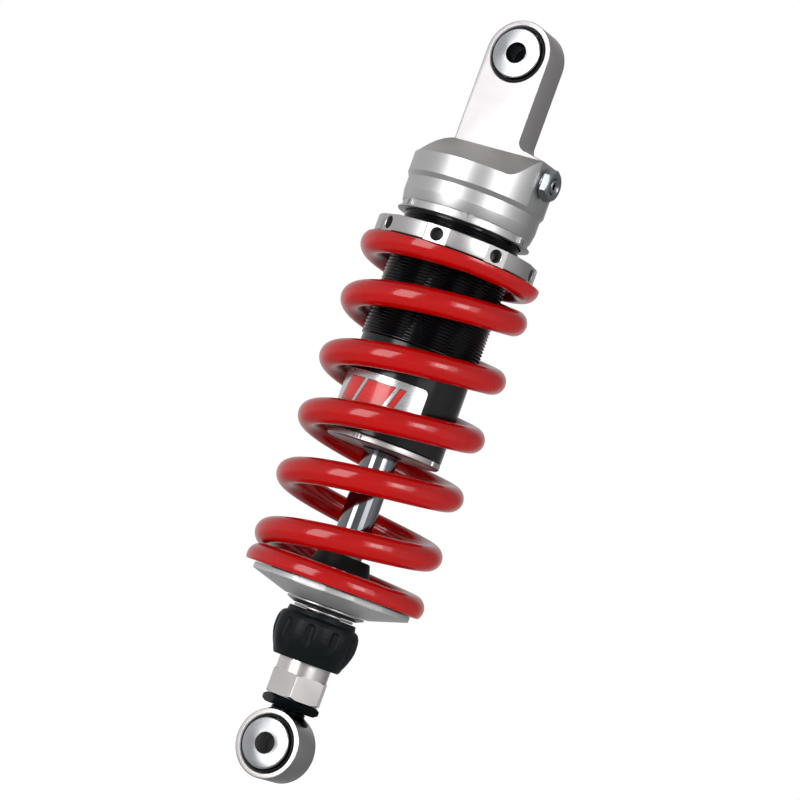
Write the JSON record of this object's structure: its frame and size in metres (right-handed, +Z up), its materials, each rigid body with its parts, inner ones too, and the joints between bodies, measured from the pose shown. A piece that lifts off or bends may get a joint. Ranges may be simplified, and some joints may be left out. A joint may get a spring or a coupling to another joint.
{
  "type": "motorcycle rear shock absorber",
  "caption": "Gas-charged rear shock absorber with a coil spring, threaded preload nut, rebound knob, length adjuster and an eye at each end.",
  "frame": {"origin": "centre of the upper eye, on the axis of its bolt hole", "axes": "+Z up the damper axis from the lower eye to the upper eye, both eye bolts along Y, gas valve on +X"},
  "size_m": [0.0838, 0.0838, 0.3621],
  "materials": {
    "satin_aluminium": "satin machined",
    "turned_aluminium": "bright turned",
    "black_anodised": "black hard-anodised aluminium",
    "hard_chrome": "ground and polished",
    "plain_steel": "turned",
    "red_powder_coat": "gloss powder coat",
    "black_rubber": "moulded",
    "silver_label": "printed metallic film",
    "bearing_bronze": "plain bearing bronze"
  },
  "bodies": {
    "damper_body": {"upper_mount_cap": "satin_aluminium", "gas_valve_plug": "plain_steel", "gas_valve_washer": "plain_steel", "gas_valve_core": "bearing_bronze", "upper_bearing_race": "plain_steel", "upper_seal_front": "black_rubber", "upper_seal_rear": "black_rubber", "damper_tube": "black_anodised", "body_label": "silver_label", "tube_end_disc": "satin_aluminium", "seal_head": "satin_aluminium", "rod_bush": "bearing_bronze", "rod_oil_seal": "black_rubber", "rod_wiper": "black_rubber", "seal_head_o_ring": "black_rubber", "seal_head_wire_ring": "plain_steel", "main_spring": "red_powder_coat"},
    "upper_bush": {"upper_bearing_ball": "hard_chrome", "upper_collar_front": "turned_aluminium", "upper_collar_rear": "turned_aluminium"},
    "gas_piston": {"floating_piston": "satin_aluminium", "floating_piston_o_ring": "black_rubber"},
    "spring_push": {"slip_washer": "black_rubber"},
    "adjuster": {"preload_nut": "turned_aluminium"},
    "seat_unit": {"lower_spring_seat": "satin_aluminium", "bump_stop": "black_rubber"},
    "rod_unit": {"damper_rod": "hard_chrome", "top_out_bumper": "black_rubber", "shim_support_washer": "plain_steel", "compression_shims": "plain_steel", "damper_piston": "satin_aluminium", "piston_band": "bearing_bronze", "rebound_shims": "plain_steel", "piston_nut": "plain_steel", "seat_collar": "turned_aluminium", "seat_ring": "turned_aluminium", "hex_fitting": "satin_aluminium", "lock_nut": "black_anodised"},
    "needle_unit": {"rebound_needle": "plain_steel", "rebound_cross_pin": "plain_steel"},
    "knob_unit": {"rebound_knob": "black_rubber"},
    "eye_unit": {"lower_eye": "satin_aluminium", "lower_bearing_race": "plain_steel", "lower_seal_front": "black_rubber", "lower_seal_rear": "black_rubber"},
    "lower_bush": {"lower_bearing_ball": "hard_chrome", "lower_collar_front": "turned_aluminium", "lower_collar_rear": "turned_aluminium"}
  },
  "joints": [
    {"name": "upper_eye_pivot", "type": "hinge", "parent": "damper_body", "child": "upper_bush", "pos_m": [0, 0, 0], "axis": [0, 1, 0], "continuous": true},
    {"name": "damper_stroke", "type": "slide", "parent": "damper_body", "child": "seat_unit", "axis": [0, 0, 1], "range_m": [0, 0.055], "stiffness_N_per_m": 95000, "deforming": ["main_spring", "bump_stop"]},
    {"name": "gas_piston_slide", "type": "slide", "parent": "damper_body", "child": "gas_piston", "axis": [0, 0, 1], "range_m": [0, 0.0068]},
    {"name": "preload_slide", "type": "slide", "parent": "damper_body", "child": "spring_push", "axis": [0, 0, 1], "range_m": [-0.012, 0], "deforming": ["main_spring"]},
    {"name": "preload_turn", "type": "hinge", "parent": "spring_push", "child": "adjuster", "pos_m": [0, 0, -0.0893], "axis": [0, 0, 1], "range_deg": [-2880, 0]},
    {"name": "length_turn", "type": "hinge", "parent": "seat_unit", "child": "rod_unit", "pos_m": [0, 0, -0.16735], "axis": [0, 0, 1], "range_deg": [0, 2400]},
    {"name": "length_slide", "type": "slide", "parent": "seat_unit", "child": "eye_unit", "axis": [0, 0, 1], "range_m": [-0.01, 0]},
    {"name": "rebound_slide", "type": "slide", "parent": "rod_unit", "child": "needle_unit", "axis": [0, 0, 1], "range_m": [-0.0015, 0]},
    {"name": "rebound_turn", "type": "hinge", "parent": "needle_unit", "child": "knob_unit", "pos_m": [0, 0, -0.26805], "axis": [0, 0, 1], "range_deg": [-720, 0]},
    {"name": "lower_eye_pivot", "type": "hinge", "parent": "eye_unit", "child": "lower_bush", "pos_m": [0, 0, -0.33005], "axis": [0, 1, 0], "continuous": true}
  ],
  "couplings": [
    {"joint": "gas_piston_slide", "follows": "damper_stroke", "ratio": 0.12098},
    {"joint": "preload_slide", "follows": "preload_turn", "m_per_rad": 0.00023873},
    {"joint": "length_slide", "follows": "length_turn", "m_per_rad": -0.00023873},
    {"joint": "rebound_slide", "follows": "rebound_turn", "m_per_rad": 0.00011937}
  ]
}
